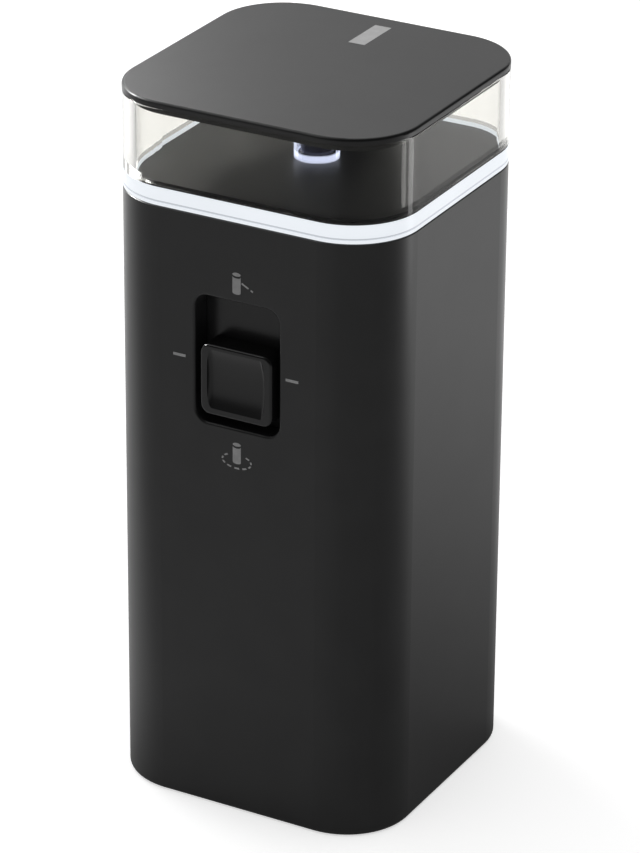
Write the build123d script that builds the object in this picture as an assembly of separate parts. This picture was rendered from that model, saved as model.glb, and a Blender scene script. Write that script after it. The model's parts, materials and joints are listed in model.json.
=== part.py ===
from build123d import *
import os
from math import sqrt

# Virtual-wall beacon for a robot vacuum: a square battery post with a mode slider in its front face,
# a lit ring, and a clear window under a thin cap through which it sends its infrared light.
# Millimetres. The origin is the middle of the base, +Z is up, and the slider faces -Y.

# Outer form
body_side = 54.0
corner_radius = 12.1
housing_height = 110.3
ring_height = 3.2
window_height = 13.75
cap_thickness = 1.15
foot_radius = 0.9
seam_reveal = 0.3
cap_edge_radius = 0.5
window_edge_radius = 0.3

# Walls and fits
housing_wall = 2.2
window_wall = 2.2
fit_gap = 0.15
seat_gap = 0.05

# Light ring
ring_ledge = 1.8
skirt_depth = 2.6
groove_rise = 0.6
groove_width = 0.3
groove_depth = 0.3

# Cap underside and the reflector cone that hangs from it
lip_wall = 1.2
lip_height = 1.55
boss_radius = 3.0
boss_height = 1.6
stud_radius = 1.5
stud_length = 1.3
reflector_radius = 5.6
reflector_rim = 0.8
cone_radius = 4.8
cone_height = 3.8
cone_tip_radius = 0.3
cone_hollow = 0.6

# Deck
deck_thickness = 1.8
deck_drop = 0.55
deck_edge_radius = 0.3
post_radius = 3.0
post_gap = 0.4

# Infrared lamps, the clear thimble over the upright one and the tube round the flat one
lamp_radius = 2.5
lamp_flange_radius = 2.9
lamp_flange = 1.0
lamp_height = 5.4
lead_size = 0.5
lead_pitch = 2.54
lead_stub = 1.0
lead_hole_radius = 0.5
thimble_wall = 0.55
thimble_gap = 0.15
beam_rise = 4.2
beam_length = 13.3
beam_setback = 2.0
tube_radius = 3.8
aperture_radius = 1.5
flare_radius = 3.0
flare_length = 3.5
beam_lead_run = 1.5

# Boards and what is on them
board_thickness = 1.6
board_gap = 0.4
led_length = 2.0
led_depth = 1.0
led_height = 1.0
led_gap = 0.4
led_pitch = 18.0
board_width = 38.0
board_height = 37.0
board_margin = 3.8
link_pins = 4
link_pitch = 2.54
link_block = 2.5
link_pin = 0.6
link_reach = 3.2
link_drop = 3.0
link_stub = 0.6
chip_length = 10.6
chip_width = 6.0
chip_height = 1.75
chip_leads = 8
chip_pitch = 1.27
chip_lead_length = 1.1
chip_lead_width = 0.45
chip_lead_height = 0.4
chip_drop = 9.0
coil_radius = 4.0
coil_waist_radius = 2.8
coil_height = 4.2
coil_rim = 0.9
can_radius = 3.15
can_height = 7.0
can_base = 0.8
can_groove = 0.3
side_part_gap = 0.5

# Front pocket
pocket_width = 16.0
pocket_height = 23.0
pocket_corner = 2.4
pocket_depth = 3.8
pocket_drop = 25.7
pocket_edge_radius = 0.5
frame_wall = 1.6

# Slider
knob_width = 13.7
knob_height = 12.8
knob_corner = 1.8
knob_proud = 0.4
knob_edge_radius = 0.5
dish_width = 11.0
dish_depth = 1.0
dish_radius = 14.8
dish_wall_radius = 1.0
dish_rise = 0.2
detent_step = 3.4
shutter_lap = 0.8
shutter_thickness = 1.3
slide_gap = 0.15
fork_width = 5.2
fork_wall = 1.2
fork_gap = 0.1
fork_length = 2.1

# Guide frame, standoffs and switch
guide_thickness = 1.4
guide_side_gap = 0.6
guide_window_gap = 0.5
leg_length = 4.7
leg_wall = 1.1
shoulder_radius = 3.4
spigot_radius = 2.0
spigot_gap = 0.2
standoff_pitch = 22.0
switch_width = 8.4
switch_height = 15.0
switch_depth = 3.7
lever_size = 2.0
lever_gap = 0.15
lever_root = 1.0
lever_reach = 1.8

# Screws and the holes for them
head_radius = 2.1
head_height = 1.5
shank_radius = 1.0
thread_gap = 0.05
screw_clearance = 0.4
recess_depth = 0.7
recess_width = 0.5
recess_length = 2.4
post_bite = 4.0
board_screw_length = 5.5
case_screw_length = 8.0
pilot_spare = 0.8
shelf_thickness = 4.0
shelf_margin = 3.6
boss_depth = 10.0

# Cells
cell_radius = 7.15
cell_length = 50.4
cell_edge_radius = 0.8
nub_radius = 2.75
nub_height = 1.3
cell_spacing = 0.8
cell_clearance = 0.4

# Base tray and door
flange_rise = 1.0
flange_thickness = 3.0
tray_wall = 1.6
divider_width = 2.4
divider_depth = 2.2
door_width = 38.0
door_depth = 24.0
door_corner = 4.0
door_thickness = 1.6
door_gap = 0.2
door_play = 0.1
tab_width = 5.0
tab_place = 11.0
tab_reach = 1.2
tab_rise = 0.75
tab_lip = 0.65
tab_swing = 0.6
tab_relief = 1.4
latch_width = 9.0
latch_slit = 0.8
latch_length = 6.5
latch_reach = 1.2
notch_radius = 6.5
ridge_count = 3
ridge_length = 6.0
ridge_width = 0.6
ridge_height = 0.35
ridge_pitch = 1.5
head_room = 0.4

# Battery contacts and leads
strip_thickness = 0.4
leaf_thickness = 0.3
leaf_width = 6.0
leaf_span = 7.4
leaf_fold_radius = 0.5
leaf_lip = 0.6
contact_gap = 0.05
contact_rise = 2.4
terminal_room = 3.4
terminal_length = 10.0
terminal_width = 8.0
cup_tip_radius = 2.0
cup_root_radius = 3.2
tag_width = 2.4
tag_place = 3.0
tag_height = 2.5
tag_gap = 0.2
lead_radius = 0.6
lead_climb = 5.0
lead_bend = 2.0
lead_landing = 3.2

# Levels, from the bottom up
door_top = flange_rise + door_thickness
ledge_level = door_top + door_play
flange_top = flange_rise + flange_thickness
cell_bottom = door_top + contact_rise
cell_top = cell_bottom + cell_length
tray_ceiling = cell_top + terminal_room
tray_top = tray_ceiling + tray_wall
ring_base = housing_height
window_base = ring_base + ring_height
cap_base = window_base + window_height
cap_top = cap_base + cap_thickness
deck_top = window_base - deck_drop
deck_base = deck_top - deck_thickness
skirt_base = ring_base - skirt_depth
light_board_top = skirt_base - led_gap - led_height
light_board_base = light_board_top - board_thickness
shelf_base = light_board_base - shelf_thickness
boss_base = cap_base - boss_height
beam_axis = deck_top + beam_rise

# Depths, from the front face back
front = -body_side / 2
wall_middle = front + housing_wall / 2
pocket_floor = front + pocket_depth
knob_face = front - knob_proud
shutter_front = pocket_floor + slide_gap
shutter_back = shutter_front + shutter_thickness
guide_front = shutter_back + slide_gap
guide_back = guide_front + guide_thickness
board_front = guide_back + leg_length
board_back = board_front + board_thickness
spigot_end = board_front - spigot_gap
switch_front = board_front - switch_depth

# Heights on the front face
pocket_centre = housing_height - pocket_drop
travel = 2 * detent_step
knob_rest = pocket_centre - detent_step
shutter_low = pocket_centre - pocket_height / 2 - shutter_lap - travel
shutter_high = pocket_centre + pocket_height / 2 + shutter_lap
board_top = pocket_centre + standoff_pitch / 2 + board_margin
board_middle = board_top - board_height / 2

# Places in plan
ledge_inset = window_wall + ring_ledge
lip_inset = window_wall + fit_gap
skirt_inset = housing_wall + fit_gap
corner_centre = body_side / 2 - corner_radius
post_place = corner_centre + (corner_radius - ledge_inset - post_radius - post_gap) / sqrt(2)
shelf_edge = post_place - shelf_margin
led_place = body_side / 2 - (skirt_inset + ledge_inset) / 2
standoff_x = pocket_width / 2 + shutter_lap + guide_side_gap + shoulder_radius
standoff_levels = (pocket_centre - standoff_pitch / 2, pocket_centre + standoff_pitch / 2)
standoffs = [(x, z) for x in (-standoff_x, standoff_x) for z in standoff_levels]
leg_radius = spigot_radius + fit_gap + leg_wall
pilot_radius = shank_radius + thread_gap
screw_hole_radius = shank_radius + screw_clearance
cell_place = cell_radius + cell_spacing / 2
side_part_place = cell_place + lead_radius + side_part_gap + coil_radius
bay_depth = 2 * (cell_radius + cell_clearance)
bay_width = bay_depth + 2 * cell_place
beam_front = body_side / 2 - window_wall - beam_setback
beam_rear = beam_front - beam_length
beam_lead_place = beam_rear - lamp_flange - beam_lead_run
link_place = board_back + link_reach
door_edge = door_depth / 2
recess_edge = door_edge + door_gap


def slab(inset, bottom, top):
    """Rounded-square block whose sides lie this far inside the outer face."""
    side = body_side - 2 * inset
    return Pos(0, 0, bottom) * extrude(RectangleRounded(side, side, corner_radius - inset), top - bottom)


def band(outer_inset, inner_inset, bottom, top):
    """Rounded-square ring between two insets."""
    return slab(outer_inset, bottom, top) - slab(inner_inset, bottom, top)


def upright(outline, bottom, top, x=0, y=0):
    """Prism that stands on a flat outline between two levels."""
    return Pos(x, y, bottom) * extrude(outline, top - bottom)


def facing_front(outline, near, far, x=0, z=0):
    """Prism of an outline drawn as seen from the front, from its near face back to its far one."""
    return Plane(origin=(x, far, z), x_dir=(1, 0, 0), z_dir=(0, -1, 0)) * extrude(outline, far - near)


def block(x, y, z):
    """Box between two limits on each axis."""
    size = (x[1] - x[0], y[1] - y[0], z[1] - z[0])
    return Pos(x[0], y[0], z[0]) * Box(*size, align=Align.MIN)


def at_corners(shape):
    """Copies of a shape on the four corner screw axes."""
    return [Pos(x, y, 0) * shape for x in (-post_place, post_place) for y in (-post_place, post_place)]


def turned(outline):
    """Solid of revolution about the Z axis, from an outline in radius and height."""
    return revolve(Plane.XZ * make_face(outline.edges()), Axis.Z)


def corner_blocks(bottom, top):
    """The housing's four filled inner corners between two levels."""
    clear = upright(Rectangle(2 * shelf_edge, body_side), bottom, top)
    clear += upright(Rectangle(body_side, 2 * shelf_edge), bottom, top)
    return slab(housing_wall / 2, bottom, top) - clear


def make_housing():
    """Square sleeve with the slider's pocket, board standoffs, and shelves and bosses in its corners."""
    shell = slab(0, 0, housing_height)
    shell = fillet(shell.edges().group_by(Axis.Z)[0], foot_radius)
    shell = chamfer(shell.edges().group_by(Axis.Z)[-1], seam_reveal)
    shell -= slab(housing_wall, 0, housing_height)
    frame_width = pocket_width + 2 * frame_wall
    frame_height = pocket_height + 2 * frame_wall
    frame = RectangleRounded(frame_width, frame_height, pocket_corner + frame_wall)
    pocket = RectangleRounded(pocket_width, pocket_height, pocket_corner)
    shell += facing_front(frame, wall_middle, pocket_floor, z=pocket_centre)
    shell -= facing_front(pocket, front, pocket_floor, z=pocket_centre)
    half_width = pocket_width / 2 + fit_gap
    half_height = pocket_height / 2 + fit_gap
    mouth = shell.edges().filter_by_position(Axis.Y, front - fit_gap, front + fit_gap)
    mouth = mouth.filter_by_position(Axis.X, -half_width, half_width)
    mouth = mouth.filter_by_position(Axis.Z, pocket_centre - half_height, pocket_centre + half_height)
    shell = fillet(mouth, pocket_edge_radius)
    for x, z in standoffs:
        shell += facing_front(Circle(shoulder_radius), wall_middle, guide_front, x, z)
        shell += facing_front(Circle(spigot_radius), wall_middle, spigot_end, x, z)
        bite = board_screw_length - board_thickness + pilot_spare
        shell -= facing_front(Circle(pilot_radius), board_front - bite, spigot_end, x, z)
    shell += corner_blocks(shelf_base, light_board_base)
    shell += corner_blocks(flange_top, flange_top + boss_depth)
    shell -= at_corners(upright(Circle(screw_hole_radius), shelf_base, light_board_base))
    shell -= at_corners(upright(Circle(pilot_radius), flange_top, flange_top + case_screw_length))
    return shell


def make_light_ring():
    """White light guide: grooved outer band, ledge for the deck and a skirt that takes in light."""
    ring = band(0, window_wall, ring_base, window_base)
    ring += band(window_wall / 2, ledge_inset, ring_base, deck_base)
    ring += band(skirt_inset, ledge_inset, skirt_base, deck_base)
    groove_base = ring_base + groove_rise
    ring -= band(0, groove_depth, groove_base, groove_base + groove_width)
    return ring


def make_window_band():
    """Clear square band, a bond line above the ring, with a rounded outer edge under the cap."""
    window = slab(0, window_base + seat_gap, cap_base)
    window = fillet(window.edges().group_by(Axis.Z)[-1], window_edge_radius)
    return window - slab(window_wall, window_base, cap_base)


def make_top_cap():
    """Thin lid with a lip inside the window and a socket for the reflector."""
    cap = slab(0, cap_base, cap_top)
    cap = fillet(cap.edges().group_by(Axis.Z)[-1], cap_edge_radius)
    middle = cap_base + cap_thickness / 2
    cap += band(lip_inset, lip_inset + lip_wall, cap_base - lip_height, middle)
    cap += upright(Circle(boss_radius), boss_base, middle)
    cap -= upright(Circle(stud_radius + fit_gap), boss_base, boss_base + stud_length + fit_gap)
    return cap


def make_halo_reflector():
    """Hollow-sided cone that turns the upward light out to all sides."""
    rim_base = boss_base - reflector_rim
    tip = rim_base - cone_height
    middle_radius = (cone_radius + cone_tip_radius) / 2 - cone_hollow
    middle_level = (rim_base + tip) / 2 + cone_hollow
    outline = Polyline(
        (0, tip),
        (0, boss_base + stud_length),
        (stud_radius, boss_base + stud_length),
        (stud_radius, boss_base),
        (reflector_radius, boss_base),
        (reflector_radius, rim_base),
        (cone_radius, rim_base),
    )
    outline += ThreePointArc((cone_radius, rim_base), (middle_radius, middle_level), (cone_tip_radius, tip))
    outline += Line((cone_tip_radius, tip), (0, tip))
    return turned(outline)


def lamp_body():
    """Round infrared lamp with a flange and a domed end, standing on the origin."""
    shoulder = lamp_height - lamp_radius
    dome = lamp_radius / sqrt(2)
    outline = Polyline(
        (0, lamp_height),
        (0, 0),
        (lamp_flange_radius, 0),
        (lamp_flange_radius, lamp_flange),
        (lamp_radius, lamp_flange),
        (lamp_radius, shoulder),
    )
    outline += ThreePointArc((lamp_radius, shoulder), (dome, shoulder + dome), (0, lamp_height))
    return turned(outline)


def lead_places(y):
    """Plan places of a lamp's two leads."""
    return [(x, y) for x in (-lead_pitch / 2, lead_pitch / 2)]


def make_halo_emitter():
    """Upright lamp on the deck, with its leads down to the light board."""
    lamp = Pos(0, 0, deck_top) * lamp_body()
    lead = Rectangle(lead_size, lead_size)
    for x, y in lead_places(0):
        lamp += upright(lead, light_board_base - lead_stub, deck_top + lamp_flange, x, y)
    return lamp


def make_beam_emitter():
    """Flat lamp that points out of the back, with bent leads."""
    lamp = Pos(0, beam_rear - lamp_flange, beam_axis) * Rot(-90, 0, 0) * lamp_body()
    lead = Rectangle(lead_size, lead_size)
    for x, y in lead_places(beam_lead_place):
        lamp += facing_front(lead, y - lead_size / 2, beam_rear, x, beam_axis)
        lamp += upright(lead, light_board_base - lead_stub, beam_axis + lead_size / 2, x, y)
    return lamp


def make_emitter_lens():
    """Clear thimble over the upright lamp."""
    inner = lamp_flange_radius + thimble_gap
    outer = inner + thimble_wall
    crown = deck_top + lamp_height + thimble_gap
    top = crown + thimble_wall
    outline = Polyline(
        (inner, deck_top),
        (outer, deck_top),
        (outer, top - outer),
    )
    arc = outer / sqrt(2)
    outline += ThreePointArc((outer, top - outer), (arc, top - outer + arc), (0, top))
    outline += Line((0, top), (0, crown))
    hollow = inner / sqrt(2)
    outline += ThreePointArc((0, crown), (hollow, crown - inner + hollow), (inner, crown - inner))
    outline += Line((inner, crown - inner), (inner, deck_top))
    return turned(outline)


def make_beam_tube():
    """Arched block that narrows the flat lamp's light to a beam."""
    arch = Pos(0, beam_axis) * Circle(tube_radius)
    arch += Pos(0, (deck_top + beam_axis) / 2) * Rectangle(2 * tube_radius, beam_rise)
    tube = facing_front(arch, beam_rear, beam_front)
    seat_end = beam_rear + lamp_height - lamp_flange + fit_gap
    tube -= facing_front(Circle(lamp_radius + fit_gap), beam_rear, seat_end, z=beam_axis)
    tube -= facing_front(Circle(aperture_radius), beam_rear, beam_front, z=beam_axis)
    flare = Cone(aperture_radius, flare_radius, flare_length, align=(Align.CENTER, Align.CENTER, Align.MIN))
    tube -= Pos(0, beam_front - flare_length, beam_axis) * Rot(-90, 0, 0) * flare
    return tube


def make_deck():
    """Dark floor of the window, with four screw posts under it and holes for the lamps' leads."""
    deck = slab(lip_inset, deck_base, deck_top)
    deck = fillet(deck.edges().group_by(Axis.Z)[-1], deck_edge_radius)
    deck += at_corners(upright(Circle(post_radius), light_board_top, deck_base + deck_thickness / 2))
    pilot_top = light_board_top + post_bite + pilot_spare
    deck -= at_corners(upright(Circle(pilot_radius), light_board_top, pilot_top))
    for x, y in lead_places(0) + lead_places(beam_lead_place):
        deck -= upright(Circle(lead_hole_radius), deck_base, deck_top, x, y)
    return deck


def link_places():
    """X places of the pins that join the two boards."""
    return [(pin - (link_pins - 1) / 2) * link_pitch for pin in range(link_pins)]


def make_light_board():
    """Flat board on the housing's shelves that carries the ring's lamps."""
    board = slab(housing_wall + board_gap, light_board_base, light_board_top)
    board -= at_corners(upright(Circle(screw_hole_radius), light_board_base, light_board_top))
    holes = lead_places(0) + lead_places(beam_lead_place) + [(x, link_place) for x in link_places()]
    for x, y in holes:
        board -= upright(Circle(lead_hole_radius), light_board_base, light_board_top, x, y)
    return board


def make_ring_leds():
    """Small lamps under the ring's skirt, two along each side."""
    led = upright(Rectangle(led_length, led_depth), light_board_top, light_board_top + led_height)
    pair = [Pos(along, -led_place, 0) * led for along in (-led_pitch / 2, led_pitch / 2)]
    return Part() + [Rot(0, 0, turn) * one for turn in (0, 90, 180, 270) for one in pair]


def make_main_board():
    """Upright board behind the slider, on four standoffs."""
    board = facing_front(Rectangle(board_width, board_height), board_front, board_back, z=board_middle)
    for x, z in standoffs:
        board -= facing_front(Circle(screw_hole_radius), board_front, board_back, x, z)
    for x in link_places():
        board -= facing_front(Circle(lead_hole_radius), board_front, board_back, x, board_top - link_drop)
    return board


def make_board_link():
    """Angled pin strip from the main board up to the light board."""
    level = board_top - link_drop
    strip = Rectangle(link_pins * link_pitch, link_block)
    strip = facing_front(strip, board_back, board_back + link_block, z=level)
    pin = Rectangle(link_pin, link_pin)
    for x in link_places():
        strip += facing_front(pin, board_front - link_stub, link_place + link_pin / 2, x, level)
        strip += upright(pin, level - link_pin / 2, light_board_top + link_stub, x, link_place)
    return strip


def make_controller_chip():
    """Flat chip with a row of leads along each long side."""
    level = board_top - link_drop - chip_drop
    chip = facing_front(Rectangle(chip_length, chip_width), board_back, board_back + chip_height, z=level)
    lead = Rectangle(chip_lead_width, chip_width + 2 * chip_lead_length)
    for number in range(chip_leads):
        x = (number - (chip_leads - 1) / 2) * chip_pitch
        chip += facing_front(lead, board_back, board_back + chip_lead_height, x, level)
    return chip


def make_boost_coil():
    """Drum coil that raises the cells' voltage."""
    x = -side_part_place
    coil = facing_front(Circle(coil_waist_radius), board_back, board_back + coil_height, x, board_middle)
    for low in (board_back, board_back + coil_height - coil_rim):
        coil += facing_front(Circle(coil_radius), low, low + coil_rim, x, board_middle)
    return coil


def make_storage_capacitor():
    """Round can on a square base, with a crimped groove."""
    x = side_part_place
    base_end = board_back + can_base
    groove_end = base_end + 2 * can_groove
    can = facing_front(Rectangle(2 * can_radius, 2 * can_radius), board_back, base_end, x, board_middle)
    can += facing_front(Circle(can_radius - can_groove), board_back, groove_end, x, board_middle)
    can += facing_front(Circle(can_radius), groove_end, board_back + can_height, x, board_middle)
    return can


def make_mode_switch():
    """Slide switch on the main board, with a slot for its lever."""
    case = facing_front(Rectangle(switch_width, switch_height), switch_front, board_front, z=pocket_centre)
    slot = Rectangle(lever_size + 2 * lever_gap, lever_size + 2 * lever_gap + travel)
    case -= facing_front(slot, switch_front, switch_front + lever_root + lever_gap, z=pocket_centre)
    return case


def make_switch_lever():
    """Square lever of the switch."""
    lever = Rectangle(lever_size, lever_size)
    return facing_front(lever, switch_front - lever_reach, switch_front + lever_root, z=knob_rest)


def make_slide_guide():
    """Frame behind the shutter, on tubular legs that the main board clamps."""
    width = 2 * (standoff_x + leg_radius)
    height = standoff_pitch + 2 * leg_radius
    outline = RectangleRounded(width, height, leg_radius)
    guide = facing_front(outline, guide_front, guide_back, z=pocket_centre)
    fork_height = lever_size + 2 * (fork_gap + fork_wall)
    slot = Rectangle(fork_width + 2 * guide_window_gap, fork_height + travel + 2 * guide_window_gap)
    guide -= facing_front(slot, guide_front, guide_back, z=pocket_centre)
    for x, z in standoffs:
        guide += facing_front(Circle(leg_radius), guide_front, board_front, x, z)
        guide -= facing_front(Circle(spigot_radius + fit_gap), guide_front, board_front, x, z)
    return guide


def make_mode_slider():
    """Dished knob on the shutter that closes the pocket, with a fork for the switch's lever."""
    outline = RectangleRounded(knob_width, knob_height, knob_corner)
    knob = facing_front(outline, knob_face, shutter_back, z=knob_rest)
    knob = fillet(knob.edges().group_by(Axis.Y)[0], knob_edge_radius)
    dish_centre = knob_rest + dish_rise
    dish_floor = knob_face + dish_depth
    drum = Cylinder(dish_radius, dish_width)
    drum = fillet(drum.edges().filter_by(GeomType.CIRCLE), dish_wall_radius)
    knob -= Pos(0, dish_floor - dish_radius, dish_centre) * Rot(0, 90, 0) * drum
    shutter = Rectangle(pocket_width + 2 * shutter_lap, shutter_high - shutter_low)
    knob += facing_front(shutter, shutter_front, shutter_back, z=(shutter_low + shutter_high) / 2)
    prong = Rectangle(fork_width, fork_wall)
    for side in (-1, 1):
        level = knob_rest + side * (lever_size / 2 + fork_gap + fork_wall / 2)
        knob += facing_front(prong, shutter_front, shutter_back + fork_length, z=level)
    return knob


def screw(length):
    """Pan-head screw along +Z with its head below the origin and a cross recess."""
    body = upright(Circle(head_radius), -head_height, 0) + upright(Circle(shank_radius), -head_height, length)
    for size in ((recess_length, recess_width), (recess_width, recess_length)):
        body -= upright(Rectangle(*size), -head_height, recess_depth - head_height)
    return body


def make_deck_screws():
    """Screws from under the shelves, through the light board, into the deck's posts."""
    length = shelf_thickness + board_thickness + post_bite
    return Part() + at_corners(Pos(0, 0, shelf_base) * screw(length))


def make_board_screws():
    """Screws from behind the main board into the standoffs."""
    return Part() + [Pos(x, board_back, z) * Rot(90, 0, 0) * screw(board_screw_length) for x, z in standoffs]


def make_case_screws():
    """Screws from below, through the tray's flange, into the housing's bosses."""
    seat = flange_rise + head_height + head_room
    return Part() + at_corners(Pos(0, 0, seat) * screw(flange_top - seat + case_screw_length - pilot_spare))


def make_base_tray():
    """Bottom plate and battery box in one, with the door's recess and its tab slots."""
    tray = slab(skirt_inset, flange_rise, flange_top)
    tray += upright(SlotOverall(bay_width + 2 * tray_wall, bay_depth + 2 * tray_wall), flange_rise, tray_top)
    tray -= upright(SlotOverall(bay_width, bay_depth), flange_rise, tray_ceiling)
    rib = divider_depth + tray_wall / 2
    for side in (-1, 1):
        y = side * (bay_depth / 2 + tray_wall / 2 - rib / 2)
        tray += upright(Rectangle(divider_width, rib), flange_top, tray_ceiling + tray_wall / 2, y=y)
    recess_size = (door_width + 2 * door_gap, door_depth + 2 * door_gap)
    tray -= upright(RectangleRounded(*recess_size, door_corner + door_gap), flange_rise, ledge_level)
    notch = upright(Circle(notch_radius), flange_rise, ledge_level, y=-recess_edge)
    tray -= notch
    for x in (-tab_place, tab_place):
        half = tab_width / 2 + door_gap
        depth = (recess_edge - tab_relief, door_edge + tab_reach + door_gap)
        tray -= block((x - half, x + half), depth, (flange_rise + tab_lip, ledge_level + tab_swing))
    tray -= at_corners(upright(Circle(screw_hole_radius), flange_rise, flange_top))
    head_seat = flange_rise + head_height + head_room
    tray -= at_corners(upright(Circle(head_radius + screw_clearance), flange_rise, head_seat))
    for x in (-cell_place, cell_place):
        slot = Rectangle(tag_width + 2 * tag_gap, strip_thickness + 2 * tag_gap)
        tray -= upright(slot, tray_ceiling, tray_top, x, tag_place)
    return tray


def make_battery_door():
    """Flat door with two rear tabs, and a latch tongue between slits at its front edge."""
    door = upright(RectangleRounded(door_width, door_depth, door_corner), flange_rise, door_top)
    for x in (-tab_place, tab_place):
        half = tab_width / 2
        depth = (door_edge - tab_reach, door_edge + tab_reach)
        door += block((x - half, x + half), depth, (flange_rise + tab_rise, door_top))
    half = latch_width / 2
    tongue = (-door_edge - latch_reach, -door_edge + latch_length)
    door += block((-half, half), tongue, (flange_rise, door_top))
    for side in (-1, 1):
        x = side * (half + latch_slit / 2)
        slit = Rectangle(latch_slit, latch_length)
        door -= upright(slit, flange_rise, door_top, x, -door_edge + latch_length / 2)
    for ridge in range(ridge_count):
        y = -door_edge + latch_reach + ridge * ridge_pitch
        door += upright(Rectangle(ridge_length, ridge_width), flange_rise - ridge_height, door_top, y=y)
    return door


def cell(x, upside_down):
    """Round cell with a raised button on its positive end."""
    can = upright(Circle(cell_radius), 0, cell_length - nub_height)
    can = fillet(can.edges(), cell_edge_radius)
    can += upright(Circle(nub_radius), cell_length - nub_height - cell_edge_radius, cell_length)
    if upside_down:
        return Pos(x, 0, cell_top) * Rot(180, 0, 0) * can
    return Pos(x, 0, cell_bottom) * can


def tag(x):
    """Solder tag of a contact, up through the tray's top wall."""
    plate = Rectangle(tag_width, strip_thickness)
    return upright(plate, tray_ceiling - strip_thickness, tray_top + tag_height, x, tag_place)


def leaf(x, root, tip):
    """Folded spring leaf along Y, from its root level to its contact level."""
    slope = 1 if tip > root else -1
    half = leaf_span / 2
    fold = FilletPolyline(
        (-half, root),
        (half, root),
        (-half + leaf_lip * 2, tip),
        (-half, tip - slope * leaf_lip),
        radius=leaf_fold_radius,
    )
    strip = Plane.YZ * extrude(trace(fold, leaf_thickness), leaf_width / 2, both=True)
    return Pos(x, 0, 0) * strip


def make_terminal_positive():
    """Flat contact with a pressed cup for the cell's button."""
    base = tray_ceiling - strip_thickness
    plate = upright(Rectangle(terminal_length, terminal_width), base, tray_ceiling, -cell_place)
    cup_height = base - cell_top
    cup = Cone(cup_tip_radius, cup_root_radius, cup_height, align=(Align.CENTER, Align.CENTER, Align.MIN))
    return plate + Pos(-cell_place, 0, cell_top) * cup + tag(-cell_place)


def make_terminal_negative():
    """Flat contact with a spring leaf for the other cell's flat end."""
    base = tray_ceiling - strip_thickness
    plate = upright(Rectangle(terminal_length, terminal_width), base, tray_ceiling, cell_place)
    tip = cell_top + leaf_thickness / 2 + contact_gap
    return plate + leaf(cell_place, base, tip) + tag(cell_place)


def make_bridge_contact():
    """Strip on the door that joins the two cells, with a spring leaf for each."""
    root = door_top + strip_thickness
    strip = upright(Rectangle(2 * cell_place + terminal_length, terminal_width), door_top, root)
    tip = cell_bottom - leaf_thickness / 2 - contact_gap
    for x in (-cell_place, cell_place):
        strip += leaf(x, root, tip)
    return strip


def make_battery_leads():
    """Two leads from the solder tags to the back of the main board."""
    start = tray_top + tag_height
    landing = max(start + lead_climb, board_middle - board_height / 2 + lead_landing)
    leads = []
    for side in (-1, 1):
        path = FilletPolyline(
            (side * cell_place, tag_place, start),
            (side * cell_place, tag_place, landing),
            (side * cell_place, board_back, landing),
            radius=lead_bend,
        )
        section = Plane(origin=path @ 0, z_dir=path % 0) * Circle(lead_radius)
        leads.append(sweep(section, path=path))
    return Part() + leads


pieces = {
    "housing": make_housing,
    "light_ring": make_light_ring,
    "window_band": make_window_band,
    "top_cap": make_top_cap,
    "halo_reflector": make_halo_reflector,
    "halo_emitter": make_halo_emitter,
    "emitter_lens": make_emitter_lens,
    "beam_emitter": make_beam_emitter,
    "beam_tube": make_beam_tube,
    "deck": make_deck,
    "light_board": make_light_board,
    "ring_leds": make_ring_leds,
    "main_board": make_main_board,
    "board_link": make_board_link,
    "controller_chip": make_controller_chip,
    "boost_coil": make_boost_coil,
    "storage_capacitor": make_storage_capacitor,
    "mode_switch": make_mode_switch,
    "switch_lever": make_switch_lever,
    "slide_guide": make_slide_guide,
    "mode_slider": make_mode_slider,
    "deck_screws": make_deck_screws,
    "board_screws": make_board_screws,
    "case_screws": make_case_screws,
    "base_tray": make_base_tray,
    "battery_door": make_battery_door,
    "cell_left": lambda: cell(-cell_place, upside_down=False),
    "cell_right": lambda: cell(cell_place, upside_down=True),
    "terminal_positive": make_terminal_positive,
    "terminal_negative": make_terminal_negative,
    "bridge_contact": make_bridge_contact,
    "battery_leads": make_battery_leads,
}

os.makedirs("parts", exist_ok=True)
for name, make in pieces.items():
    export_step(make(), f"parts/{name}.step")
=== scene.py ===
import json
import math

import bmesh
import bpy
from mathutils import Matrix, Vector


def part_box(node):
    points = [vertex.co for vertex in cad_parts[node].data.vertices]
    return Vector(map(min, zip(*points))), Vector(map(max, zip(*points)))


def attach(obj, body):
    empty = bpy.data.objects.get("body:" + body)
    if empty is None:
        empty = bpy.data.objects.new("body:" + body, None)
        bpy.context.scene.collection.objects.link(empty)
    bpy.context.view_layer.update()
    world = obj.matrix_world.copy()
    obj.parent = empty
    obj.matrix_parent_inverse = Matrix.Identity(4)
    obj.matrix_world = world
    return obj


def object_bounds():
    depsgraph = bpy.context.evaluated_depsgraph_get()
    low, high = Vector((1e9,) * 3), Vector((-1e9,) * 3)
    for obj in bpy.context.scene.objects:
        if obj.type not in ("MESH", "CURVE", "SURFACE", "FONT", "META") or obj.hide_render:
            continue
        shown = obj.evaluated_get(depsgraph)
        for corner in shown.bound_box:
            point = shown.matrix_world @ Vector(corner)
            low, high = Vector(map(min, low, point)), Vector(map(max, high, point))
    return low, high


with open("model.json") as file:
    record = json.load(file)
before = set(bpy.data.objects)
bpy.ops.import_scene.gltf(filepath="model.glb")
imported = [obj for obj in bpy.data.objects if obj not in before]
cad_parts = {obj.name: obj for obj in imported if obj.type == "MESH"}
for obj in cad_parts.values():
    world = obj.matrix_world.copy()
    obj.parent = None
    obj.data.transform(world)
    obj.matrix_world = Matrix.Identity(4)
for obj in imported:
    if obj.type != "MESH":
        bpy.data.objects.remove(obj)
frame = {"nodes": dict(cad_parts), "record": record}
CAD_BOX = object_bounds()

MM = 0.001

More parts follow.
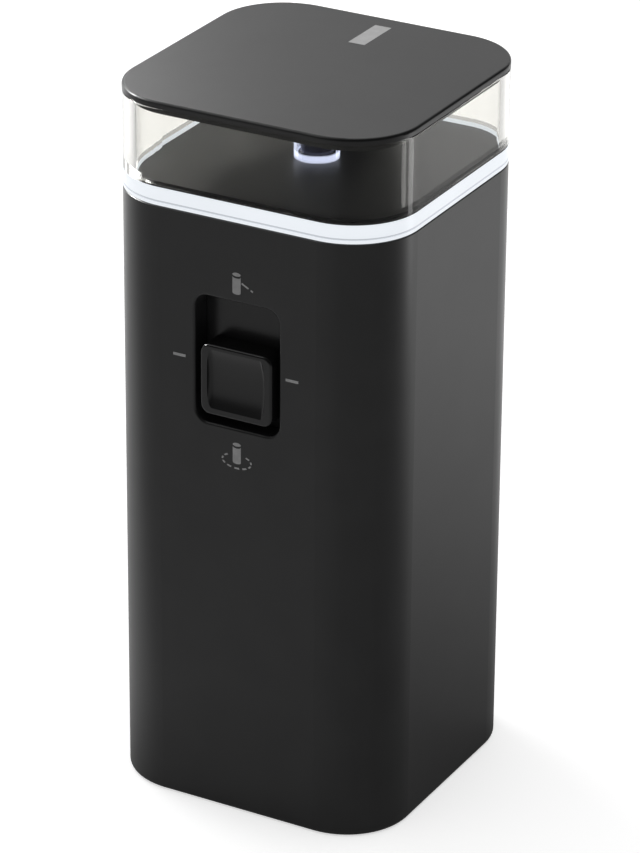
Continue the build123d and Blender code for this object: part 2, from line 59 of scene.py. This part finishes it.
# Camera, as fitted to the photograph's frame
PHOTO_WIDTH = 640
PHOTO_HEIGHT = 853
FOCAL_PX = 4362.2
PRINCIPAL_PX = (315.4, 418.0)
VIEW_AZIMUTH = 28.94
VIEW_ELEVATION = 25.14
VIEW_ROLL = 0.41
VIEW_DISTANCE = 0.7511
SENSOR = 36.0

# Studio: the floor, what reflections see of the surroundings, and the lamps, in metres and watts
FLOOR_HALF = 3.0
FLOOR_DROP = 0.0001
FLOOR_ALBEDO = 0.8
FLOOR_LIFT = 0.53
WORLD_FILL = 0.85
WORLD_DEPTH = (-0.5, 0.4)
WORLD_GLOSS = (0.02, 0.73)
WORLD_RIGHT = (-0.05, 0.2)
WORLD_RIGHT_SHARE = 0.03
GLOSS_DEPTH = (0.03, 0.2)
GLOSS_LEVELS = (0.47, 1.68)
GLOSS_RIGHT = (0.0, 0.05)
GLOSS_RIGHT_SHARE = 0.78
GLOSS_SIDE = (-0.06, -0.015)
GLOSS_SIDE_DEPTH = (-0.09, -0.03)
GLOSS_LEFT = 0.55
KEY_PLACE = (-1.7, 0.5, 1.2)
KEY_SIZE = 1.2
KEY_POWER = 14.0
RIM_PLACE = (-0.356, 0.41, 0.383)
RIM_SIZE = 0.1
RIM_POWER = 0.2
SPARK_PLACE = (-0.8, -0.06, 0.5)
SPARK_SIZE = 0.2
SPARK_POWER = 6.5
GLINT_PLACE = (0.1751, 0.1090, 0.0419)
GLINT_SIZE = 0.042
GLINT_POWER = 0.013
CREST_PLACE = (-0.44, -0.42, 0.89)
CREST_SIZE = 0.3
CREST_POWER = 0.25

# Print on the front face and the cap
PRINT_THICKNESS = 0.04 * MM
PRINT_SINK = 0.01 * MM
ROUND_STEPS = 32
BAR_WIDTH = 3.1 * MM
BAR_FRONT = 13.3 * MM
BAR_BACK = 22.9 * MM
DASH_LENGTH = 2.4 * MM
DASH_HEIGHT = 0.5 * MM
DASH_LEVEL = 84.3 * MM
DASH_PLACES = (-11.0 * MM, 10.5 * MM)
PILLAR_HALF = 0.78 * MM
PILLAR_TALL = 3.2 * MM
LENS_HALF = 0.33 * MM
LENS_GAP = 0.36 * MM
BEAM_ICON_LEVEL = 97.55 * MM
RAY_START = (0.95 * MM, 2.2 * MM)
RAY_SLOPE = -0.53
RAY_DASHES = ((0.0, 1.5), (1.95, 2.45))
RAY_HEIGHT = 0.3 * MM
HALO_ICON_LEVEL = 66.7 * MM
HALO_CENTRE = 0.5 * MM
HALO_LONG = 2.75 * MM
HALO_SHORT = 1.3 * MM
HALO_LINE = 0.32 * MM
HALO_DASHES = 11
HALO_FILL = 0.6
HALO_STEPS = 6
SIGN_TONES = (0.14, 0.17)
BAR_TONES = (0.41, 0.46)

# Moulded surfaces: noise in features per metre, heights of the grain, and the blend of two tones
GRAIN = 2600.0
GRAIN_HEIGHT = 0.004 * MM
FINE_HEIGHT = 0.002 * MM
LIGHT_HEIGHT = 0.003 * MM
TONE_PATCH = 140.0
GLOSS_PATCH = 90.0
BLEND_ENDS = (0.3, 0.7)

# Light ring and the lit thimble, with painted shade in the ring's groove and a painted highlight on one
# side of the thimble
RING_TONE = (0.45, 0.46, 0.48)
RING_LIGHT = (0.88, 0.94, 1.0, 1.0)
RING_GLOW = (0.44, 0.54)
RING_PATCH = 45.0
OUTWARD_LEAST = 1.0 * MM
GROOVE_RISE = 0.75 * MM
GROOVE_HALF = 0.16 * MM
# Painted shade: the ring's glow is multiplied by this level along the groove
GROOVE_SHADE_LEVEL = 0.4
INNER_GLOW = 1.9
LENS_FOOT = 1.2 * MM
# Painted highlight: the side of the thimble beyond this reach along this direction glows as if it caught
# a bright refraction
LENS_HIGHLIGHT_SIDE = (-0.875, -0.484, 0.0)
LENS_HIGHLIGHT_REACH = 3.1 * MM
LENS_GLOW_AND_HIGHLIGHT = 0.55
LENS_TONE = (0.92, 0.94, 1.0)
LENS_LIGHT = (0.72, 0.78, 1.0, 1.0)
LENS_INDEX = 1.25
LAMP_LIGHT = (0.9, 0.95, 1.0, 1.0)

# Clear band: its tint, deeper where it is seen edge on, and a dark opaque band at its foot, painted shade
# along the front and right sides only
CLEAR_INDEX = 1.31
WAVE_PATCH = 70.0
WAVE_HEIGHT = 0.003 * MM
EDGE_FACING = (0.7, 1.0)
CLEAR_TINT = (0.81, 0.805, 0.78)
FOOT_SHADE_TONE = (0.02, 0.02, 0.02)
FOOT_SHADE_DEPTH = 0.3 * MM
FOOT_SHADE_SIDE = (1.0, -1.0, 0.0)
FOOT_SHADE_REACH = 3.0 * MM
FOOT_SHADE_FADE = 8.0 * MM

# Battery cells
CELL_END = 2.4 * MM
CELL_FILM = (0.035, 0.035, 0.04)
CELL_STEEL = (0.6, 0.59, 0.57)


def new_material(name, colour, roughness, **sockets):
    """Principled material with its even values set on the shader itself."""
    material = bpy.data.materials.new(name)
    material.use_nodes = True
    shader = material.node_tree.nodes["Principled BSDF"]
    shader.inputs["Base Color"].default_value = (*colour, 1.0)
    shader.inputs["Roughness"].default_value = roughness
    for socket, value in sockets.items():
        shader.inputs[socket.replace("_", " ")].default_value = value
    return material, shader


def add(material, kind, **inputs):
    """New node in a material, with its input values set by name."""
    node = material.node_tree.nodes.new(kind)
    for socket, value in inputs.items():
        node.inputs[socket.replace("_", " ")].default_value = value
    return node


def link(material, source, target):
    material.node_tree.links.new(source, target)


def noise(material, scale, detail=3.0):
    """Even noise over the object, in features per metre."""
    place = add(material, "ShaderNodeTexCoord")
    texture = add(material, "ShaderNodeTexNoise", Scale=scale, Detail=detail)
    link(material, place.outputs["Object"], texture.inputs["Vector"])
    return texture.outputs["Fac"]


def spread(material, value, low, high):
    """Maps a 0 to 1 value to a range."""
    node = add(material, "ShaderNodeMapRange", To_Min=low, To_Max=high)
    link(material, value, node.inputs["Value"])
    return node.outputs["Result"]


def blend_colours(material, value, first, second):
    """Colour that runs from the first to the second as the value rises."""
    ramp = add(material, "ShaderNodeValToRGB")
    ramp.color_ramp.elements[0].position = BLEND_ENDS[0]
    ramp.color_ramp.elements[0].color = (*first, 1.0)
    ramp.color_ramp.elements[1].position = BLEND_ENDS[1]
    ramp.color_ramp.elements[1].color = (*second, 1.0)
    link(material, value, ramp.inputs["Fac"])
    return ramp.outputs["Color"]


def height_mask(material, low, high):
    """One between two levels on the object, and zero elsewhere."""
    place = add(material, "ShaderNodeTexCoord")
    split = add(material, "ShaderNodeSeparateXYZ")
    link(material, place.outputs["Object"], split.inputs["Vector"])
    node = add(material, "ShaderNodeMath")
    node.operation = "COMPARE"
    node.inputs[1].default_value = (low + high) / 2
    node.inputs[2].default_value = (high - low) / 2
    link(material, split.outputs["Z"], node.inputs[0])
    return node.outputs["Value"]


def combine(material, operation, first, second):
    """Arithmetic on two values."""
    node = add(material, "ShaderNodeMath")
    node.operation = operation
    link(material, first, node.inputs[0])
    link(material, second, node.inputs[1])
    return node.outputs["Value"]


def above(material, direction, reach, fade=0.001 * MM):
    """Zero up to a reach along a direction, and one beyond the fade that follows it."""
    place = add(material, "ShaderNodeTexCoord")
    along = add(material, "ShaderNodeVectorMath")
    along.operation = "DOT_PRODUCT"
    along.inputs[1].default_value = direction
    link(material, place.outputs["Object"], along.inputs[0])
    node = add(material, "ShaderNodeMapRange", From_Min=reach, From_Max=reach + fade)
    link(material, along.outputs["Value"], node.inputs["Value"])
    return node.outputs["Result"]


def outward(material):
    """One on faces that look away from the object's upright axis, and zero on the others."""
    place = add(material, "ShaderNodeTexCoord")
    flat = add(material, "ShaderNodeVectorMath")
    flat.operation = "MULTIPLY"
    flat.inputs[1].default_value = (1.0, 1.0, 0.0)
    link(material, place.outputs["Object"], flat.inputs[0])
    along = add(material, "ShaderNodeVectorMath")
    along.operation = "DOT_PRODUCT"
    link(material, flat.outputs["Vector"], along.inputs[0])
    link(material, place.outputs["Normal"], along.inputs[1])
    node = add(material, "ShaderNodeMath")
    node.operation = "GREATER_THAN"
    node.inputs[1].default_value = OUTWARD_LEAST
    link(material, along.outputs["Value"], node.inputs[0])
    return node.outputs["Value"]


def rough_and_bumpy(material, shader, rough, grain, height, patch=GLOSS_PATCH):
    """Roughness that drifts in patches, and a fine moulded grain."""
    link(material, spread(material, noise(material, patch), *rough), shader.inputs["Roughness"])
    bump = add(material, "ShaderNodeBump", Strength=1.0, Distance=height)
    link(material, noise(material, grain), bump.inputs["Height"])
    link(material, bump.outputs["Normal"], shader.inputs["Normal"])


def moulded(name, first, second, rough, grain=GRAIN, height=GRAIN_HEIGHT, specular=0.5):
    """Moulded plastic: two close tones, drifting gloss and a fine grain."""
    material, shader = new_material(name, first, rough[0], Specular_IOR_Level=specular)
    tone = blend_colours(material, noise(material, TONE_PATCH), first, second)
    link(material, tone, shader.inputs["Base Color"])
    rough_and_bumpy(material, shader, rough, grain, height)
    return material


def shell_black():
    tones = (0.0040, 0.0040, 0.0042), (0.0058, 0.0058, 0.0060)
    return moulded("shell_black", *tones, (0.30, 0.36), specular=0.7)


def knob_black():
    tones = (0.0036, 0.0036, 0.0038), (0.0048, 0.0048, 0.0050)
    return moulded("knob_black", *tones, (0.22, 0.27), 1800.0, FINE_HEIGHT, specular=0.7)


def inner_black():
    tones = (0.004, 0.004, 0.004), (0.006, 0.006, 0.006)
    return moulded("inner_black", *tones, (0.44, 0.52), specular=0.75)


def clear_plastic():
    """Polished clear plastic with a faint warm tint, slight waves and a dark opaque band at its foot,
    painted shade along the front and right sides only.
    """
    material, shader = new_material("clear", CLEAR_TINT, 0.02, Transmission_Weight=1.0, IOR=CLEAR_INDEX)
    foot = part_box("window_band")[0][2]
    foot_band = height_mask(material, foot - FOOT_SHADE_DEPTH, foot + FOOT_SHADE_DEPTH)
    # Painted shade: the foot band turns dark and opaque only along the front and right sides
    dark = combine(material, "MULTIPLY", foot_band, above(material, FOOT_SHADE_SIDE, FOOT_SHADE_REACH, FOOT_SHADE_FADE))
    link(material, spread(material, dark, 1.0, 0.0), shader.inputs["Transmission Weight"])
    facing = add(material, "ShaderNodeLayerWeight").outputs["Facing"]
    edge = add(material, "ShaderNodeMapRange", From_Min=EDGE_FACING[0], From_Max=EDGE_FACING[1])
    link(material, facing, edge.inputs["Value"])
    tint = combine(material, "MAXIMUM", dark, edge.outputs["Result"])
    link(material, blend_colours(material, tint, CLEAR_TINT, FOOT_SHADE_TONE), shader.inputs["Base Color"])
    bump = add(material, "ShaderNodeBump", Strength=1.0, Distance=WAVE_HEIGHT)
    link(material, noise(material, WAVE_PATCH, 1.0), bump.inputs["Height"])
    link(material, bump.outputs["Normal"], shader.inputs["Normal"])
    return material


def ring_white():
    """Milky light guide, lit from within, stronger on its inner faces, and with painted shade that dims
    its glow in its groove.
    """
    material, shader = new_material("ring_white", RING_TONE, 0.3)
    shader.inputs["Emission Color"].default_value = RING_LIGHT
    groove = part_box("housing")[1][2] + GROOVE_RISE
    band = height_mask(material, groove - GROOVE_HALF, groove + GROOVE_HALF)
    # Painted shade: the glow drops along the groove's height band
    groove_shade = spread(material, band, 1.0, GROOVE_SHADE_LEVEL)
    glow = combine(material, "MULTIPLY", spread(material, noise(material, RING_PATCH), *RING_GLOW), groove_shade)
    gain = spread(material, outward(material), INNER_GLOW, 1.0)
    link(material, combine(material, "MULTIPLY", glow, gain), shader.inputs["Emission Strength"])
    return material


def lens_lit():
    """Clear thimble whose base carries light from the lamp, and whose one side has a painted highlight.
    """
    material, shader = new_material("lens_lit", LENS_TONE, 0.03, Transmission_Weight=1.0, IOR=LENS_INDEX)
    shader.inputs["Emission Color"].default_value = LENS_LIGHT
    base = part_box("emitter_lens")[0][2]
    foot = height_mask(material, base - LENS_FOOT, base + LENS_FOOT)
    # The foot glows with the lamp's light; the side beyond the reach is a painted highlight
    lit = combine(material, "MAXIMUM", foot, above(material, LENS_HIGHLIGHT_SIDE, LENS_HIGHLIGHT_REACH))
    link(material, spread(material, lit, 0.0, LENS_GLOW_AND_HIGHLIGHT), shader.inputs["Emission Strength"])
    return material


def lamp_dark():
    material, shader = new_material("lamp_dark", (0.012, 0.014, 0.045), 0.1)
    rough_and_bumpy(material, shader, (0.06, 0.14), 900.0, FINE_HEIGHT)
    return material


def lamp_white():
    material, shader = new_material("lamp_white", (0.9, 0.9, 0.84), 0.3)
    shader.inputs["Emission Color"].default_value = LAMP_LIGHT
    shader.inputs["Emission Strength"].default_value = 1.0
    rough_and_bumpy(material, shader, (0.25, 0.35), 1500.0, FINE_HEIGHT)
    return material


def metal(name, colour, rough, grain=2200.0):
    material, shader = new_material(name, colour, rough[0], Metallic=1.0)
    rough_and_bumpy(material, shader, rough, grain, LIGHT_HEIGHT, 400.0)
    return material


def board_green():
    return moulded("board_green", (0.010, 0.060, 0.028), (0.014, 0.078, 0.036), (0.28, 0.36), 1200.0)


def cell_jacket():
    """Plain film jacket that leaves the cell's two metal ends bare."""
    material, shader = new_material("cell_jacket", CELL_FILM, 0.25)
    low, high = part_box("cell_left")[0][2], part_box("cell_left")[1][2]
    film = height_mask(material, low + CELL_END, high - CELL_END)
    link(material, spread(material, film, 1.0, 0.0), shader.inputs["Metallic"])
    link(material, blend_colours(material, film, CELL_STEEL, CELL_FILM), shader.inputs["Base Color"])
    rough_and_bumpy(material, shader, (0.2, 0.3), 1500.0, FINE_HEIGHT)
    return material


def print_grey(name, low, high):
    """Grey pad print, slightly uneven."""
    material, shader = new_material(name, (low, low, low), 0.45)
    tone = blend_colours(material, noise(material, 900.0), (low, low, low), (high, high, high))
    link(material, tone, shader.inputs["Base Color"])
    rough_and_bumpy(material, shader, (0.42, 0.5), 3000.0, LIGHT_HEIGHT)
    return material


MATERIALS = {
    "shell_black": shell_black,
    "knob_black": knob_black,
    "inner_black": inner_black,
    "clear": clear_plastic,
    "ring_white": ring_white,
    "lamp_dark": lamp_dark,
    "lamp_white": lamp_white,
    "mirror_cone": lambda: metal("mirror_cone", (0.80, 0.80, 0.82), (0.06, 0.12)),
    "board_green": board_green,
    "part_black": lambda: moulded("part_black", (0.012, 0.012, 0.012), (0.018, 0.018, 0.018), (0.4, 0.5)),
    "part_grey": lambda: metal("part_grey", (0.55, 0.55, 0.57), (0.25, 0.4)),
    "coil_brown": lambda: moulded("coil_brown", (0.03, 0.025, 0.022), (0.05, 0.04, 0.035), (0.5, 0.6)),
    "steel": lambda: metal("steel", (0.52, 0.51, 0.49), (0.22, 0.34)),
    "cell_jacket": cell_jacket,
    "lead_jacket": lambda: moulded("lead_jacket", (0.25, 0.02, 0.015), (0.32, 0.03, 0.02), (0.4, 0.5)),
}


def paint_nodes():
    """Gives each CAD node the material of its slot in the record, and the lit thimble its own."""
    made = {slot: make() for slot, make in MATERIALS.items()}
    for entry in frame["record"]["subparts"]:
        for material_slot in frame["nodes"][entry["node"]].material_slots:
            material_slot.material = made[entry["material_slot"]]
    frame["nodes"]["emitter_lens"].material_slots[0].material = lens_lit()


def prism(name, loops, place, material):
    """Thin raised print: each loop is a closed outline, and place puts its points and depth in space."""
    mesh = bmesh.new()
    for loop in loops:
        back = [mesh.verts.new(place(u, v, -PRINT_SINK)) for u, v in loop]
        face = [mesh.verts.new(place(u, v, PRINT_THICKNESS)) for u, v in loop]
        mesh.faces.new(face)
        mesh.faces.new(list(reversed(back)))
        for i in range(len(loop)):
            j = (i + 1) % len(loop)
            mesh.faces.new((back[i], back[j], face[j], face[i]))
    bmesh.ops.recalc_face_normals(mesh, faces=mesh.faces)
    data = bpy.data.meshes.new(name)
    mesh.to_mesh(data)
    mesh.free()
    data.materials.append(material)
    piece = bpy.data.objects.new(name, data)
    bpy.context.scene.collection.objects.link(piece)
    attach(piece, "post")
    return piece


def ellipse(centre, half_width, half_height, start=0.0, end=2 * math.pi, steps=ROUND_STEPS):
    """Points along an ellipse or a part of it."""
    angles = [start + (end - start) * i / steps for i in range(steps + 1)]
    return [(centre[0] + half_width * math.cos(a), centre[1] + half_height * math.sin(a)) for a in angles]


def pillar(level):
    """Outlines of the little post drawn in both mode signs: its body and the oval on top."""
    top = level + PILLAR_TALL
    foot = ellipse((0, level + LENS_HALF), PILLAR_HALF, LENS_HALF, math.pi, 2 * math.pi)
    rim = ellipse((0, top), PILLAR_HALF, LENS_HALF, 2 * math.pi, math.pi)
    oval = ellipse((0, top + LENS_GAP), PILLAR_HALF, LENS_HALF)[:-1]
    return [foot + rim, oval]


def ray_dashes():
    """Dashed ray that leaves the post in the beam sign."""
    run = Vector((1.0, RAY_SLOPE)).normalized()
    side = Vector((-run.y, run.x)) * RAY_HEIGHT / 2
    start = Vector((RAY_START[0], BEAM_ICON_LEVEL + RAY_START[1]))
    loops = []
    for near, far in RAY_DASHES:
        a, b = start + run * near * MM, start + run * far * MM
        loops.append([tuple(p) for p in (a - side, b - side, b + side, a + side)])
    return loops


def halo_dashes():
    """Dashed oval round the post in the halo sign, open behind the post."""
    step = 2 * math.pi / HALO_DASHES
    centre = (0, HALO_ICON_LEVEL + HALO_CENTRE)
    loops = []
    for i in range(HALO_DASHES):
        middle = -math.pi / 2 + i * step
        if math.sin(middle) > 0 and abs(HALO_LONG * math.cos(middle)) < PILLAR_HALF + HALO_LINE:
            continue
        ends = (middle - step * HALO_FILL / 2, middle + step * HALO_FILL / 2)
        half = HALO_LINE / 2
        outer = ellipse(centre, HALO_LONG + half, HALO_SHORT + half, *ends, steps=HALO_STEPS)
        inner = ellipse(centre, HALO_LONG - half, HALO_SHORT - half, *ends, steps=HALO_STEPS)
        loops.append(outer + inner[::-1])
    return loops


def rectangle(u0, v0, u1, v1):
    return [(u0, v0), (u1, v0), (u1, v1), (u0, v1)]


def add_print():
    """Mode signs and marks on the front face, and the beam's bar on the cap."""
    ink = print_grey("sign_grey", *SIGN_TONES)
    bar_ink = print_grey("bar_grey", *BAR_TONES)
    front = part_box("housing")[0][1]
    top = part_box("top_cap")[1][2]

    def on_front(u, v, depth):
        return (u, front - depth, v)

    def on_cap(u, v, depth):
        return (u, v, top + depth)

    prism("beam_sign", pillar(BEAM_ICON_LEVEL) + ray_dashes(), on_front, ink)
    prism("halo_sign", pillar(HALO_ICON_LEVEL) + halo_dashes(), on_front, ink)
    marks = []
    for middle in DASH_PLACES:
        low, high = DASH_LEVEL - DASH_HEIGHT / 2, DASH_LEVEL + DASH_HEIGHT / 2
        marks.append(rectangle(middle - DASH_LENGTH / 2, low, middle + DASH_LENGTH / 2, high))
    prism("off_marks", marks, on_front, ink)
    prism("beam_bar", [rectangle(-BAR_WIDTH / 2, BAR_FRONT, BAR_WIDTH / 2, BAR_BACK)], on_cap, bar_ink)


def tree_nodes(tree):
    """Shorthand for adding and joining nodes in a tree, with ramps and sums of values."""
    def new(kind, **inputs):
        node = tree.nodes.new(kind)
        for socket, value in inputs.items():
            node.inputs[socket.replace("_", " ")].default_value = value
        return node

    def join(source, target):
        tree.links.new(source, target)

    def ramp(source, ends, levels, kind="LINEAR"):
        node = new("ShaderNodeMapRange", From_Min=ends[0], From_Max=ends[1])
        node.inputs["To Min"].default_value = levels[0]
        node.inputs["To Max"].default_value = levels[1]
        node.interpolation_type = kind
        join(source, node.inputs["Value"])
        return node.outputs["Result"]

    def arithmetic(operation, first, second):
        node = new("ShaderNodeMath")
        node.operation = operation
        join(first, node.inputs[0])
        join(second, node.inputs[1])
        return node.outputs["Value"]

    return new, join, ramp, arithmetic


def add_world():
    """White for the eye and through clear parts; darker to the front and right in reflections."""
    world = bpy.data.worlds.new("studio")
    bpy.context.scene.world = world
    world.use_nodes = True
    tree = world.node_tree
    tree.nodes.clear()
    new, join, ramp, arithmetic = tree_nodes(tree)
    path = new("ShaderNodeLightPath")
    place = new("ShaderNodeTexCoord")
    split = new("ShaderNodeSeparateXYZ")
    join(place.outputs["Generated"], split.inputs["Vector"])
    depth = ramp(split.outputs["Y"], WORLD_DEPTH, WORLD_GLOSS)
    right = ramp(split.outputs["X"], WORLD_RIGHT, (1.0, WORLD_RIGHT_SHARE))
    by_gloss = new("ShaderNodeMix", A=WORLD_FILL)
    join(path.outputs["Is Glossy Ray"], by_gloss.inputs["Factor"])
    join(arithmetic("MULTIPLY", depth, right), by_gloss.inputs["B"])
    seen = arithmetic("MAXIMUM", path.outputs["Is Camera Ray"], path.outputs["Is Transmission Ray"])
    level = new("ShaderNodeMix", B=1.0)
    join(seen, level.inputs["Factor"])
    join(by_gloss.outputs["Result"], level.inputs["A"])
    background = new("ShaderNodeBackground")
    join(level.outputs["Result"], background.inputs["Strength"])
    output = new("ShaderNodeOutputWorld")
    join(background.outputs["Background"], output.inputs["Surface"])


def floor_material():
    """White floor that keeps the shadow, open from below, darker towards the front in reflections."""
    material = bpy.data.materials.new("floor_white")
    material.use_nodes = True
    tree = material.node_tree
    tree.nodes.clear()
    new, join, ramp, arithmetic = tree_nodes(tree)
    path = new("ShaderNodeLightPath")
    geometry = new("ShaderNodeNewGeometry")
    split = new("ShaderNodeSeparateXYZ")
    join(geometry.outputs["Position"], split.inputs["Vector"])
    across, away = split.outputs["X"], split.outputs["Y"]
    side = ramp(across, GLOSS_SIDE, (GLOSS_LEFT, 0.0), "SMOOTHSTEP")
    left = arithmetic("MULTIPLY", side, ramp(away, GLOSS_SIDE_DEPTH, (0.0, 1.0), "SMOOTHSTEP"))
    right = ramp(across, GLOSS_RIGHT, (1.0, GLOSS_RIGHT_SHARE))
    gloss = arithmetic("MULTIPLY", ramp(away, GLOSS_DEPTH, GLOSS_LEVELS), right)
    gloss = arithmetic("ADD", gloss, left)
    share = new("ShaderNodeMix", A=1.0)
    join(path.outputs["Is Glossy Ray"], share.inputs["Factor"])
    join(gloss, share.inputs["B"])
    tone = new("ShaderNodeMath")
    tone.operation = "MULTIPLY"
    tone.inputs[1].default_value = FLOOR_ALBEDO
    join(share.outputs["Result"], tone.inputs[0])
    diffuse = new("ShaderNodeBsdfDiffuse")
    join(tone.outputs["Value"], diffuse.inputs["Color"])
    glow = new("ShaderNodeEmission")
    join(ramp(path.outputs["Is Glossy Ray"], (0.0, 1.0), (FLOOR_LIFT, 0.0)), glow.inputs["Strength"])
    both = new("ShaderNodeAddShader")
    join(diffuse.outputs["BSDF"], both.inputs[0])
    join(glow.outputs["Emission"], both.inputs[1])
    open_below = new("ShaderNodeMixShader")
    join(geometry.outputs["Backfacing"], open_below.inputs["Fac"])
    join(both.outputs["Shader"], open_below.inputs[1])
    join(new("ShaderNodeBsdfTransparent").outputs["BSDF"], open_below.inputs[2])
    output = new("ShaderNodeOutputMaterial")
    join(open_below.outputs["Shader"], output.inputs["Surface"])
    return material


def add_floor():
    corners = rectangle(-FLOOR_HALF, -FLOOR_HALF, FLOOR_HALF, FLOOR_HALF)
    data = bpy.data.meshes.new("floor")
    data.from_pydata([(x, y, -FLOOR_DROP) for x, y in corners], [], [(0, 1, 2, 3)])
    data.materials.append(floor_material())
    floor = bpy.data.objects.new("floor", data)
    bpy.context.scene.collection.objects.link(floor)


def add_lamp(name, place, size, power, only_gloss=False):
    """Round soft lamp that looks at the part's middle; one that is only for gloss adds no plain light."""
    data = bpy.data.lights.new(name, "AREA")
    data.shape = "DISK"
    data.size = size
    data.energy = power
    lamp = bpy.data.objects.new(name, data)
    middle = Vector((0, 0, (CAD_BOX[0][2] + CAD_BOX[1][2]) / 2))
    lamp.location = place
    lamp.rotation_euler = (middle - Vector(place)).to_track_quat("-Z", "Y").to_euler()
    lamp.visible_diffuse = not only_gloss
    bpy.context.scene.collection.objects.link(lamp)


def add_camera():
    """Camera at the photograph's viewing angle."""
    azimuth, elevation = math.radians(VIEW_AZIMUTH), math.radians(VIEW_ELEVATION)
    out = math.cos(elevation)
    back = Vector((math.sin(azimuth) * out, -math.cos(azimuth) * out, math.sin(elevation)))
    right = Vector((math.cos(azimuth), math.sin(azimuth), 0.0))
    up = back.cross(right)
    roll = math.radians(VIEW_ROLL)
    right, up = right * math.cos(roll) + up * math.sin(roll), up * math.cos(roll) - right * math.sin(roll)
    middle = Vector((0, 0, (CAD_BOX[0][2] + CAD_BOX[1][2]) / 2))
    place = middle + back * VIEW_DISTANCE
    data = bpy.data.cameras.new("camera")
    data.sensor_width = SENSOR
    data.lens = FOCAL_PX * SENSOR / PHOTO_HEIGHT
    data.shift_x = (PHOTO_WIDTH / 2 - PRINCIPAL_PX[0]) / PHOTO_HEIGHT
    data.shift_y = (PRINCIPAL_PX[1] - PHOTO_HEIGHT / 2) / PHOTO_HEIGHT
    camera = bpy.data.objects.new("camera", data)
    turn = Matrix((right, up, back)).transposed().to_4x4()
    camera.matrix_world = Matrix.Translation(place) @ turn
    bpy.context.scene.collection.objects.link(camera)
    bpy.context.scene.camera = camera


bpy.context.scene.view_settings.view_transform = "Standard"
paint_nodes()
add_print()
add_world()
add_floor()
add_lamp("key", KEY_PLACE, KEY_SIZE, KEY_POWER)
add_lamp("rim", RIM_PLACE, RIM_SIZE, RIM_POWER, only_gloss=True)
add_lamp("spark", SPARK_PLACE, SPARK_SIZE, SPARK_POWER, only_gloss=True)
add_lamp("glint", GLINT_PLACE, GLINT_SIZE, GLINT_POWER, only_gloss=True)
add_lamp("crest", CREST_PLACE, CREST_SIZE, CREST_POWER, only_gloss=True)
add_camera()
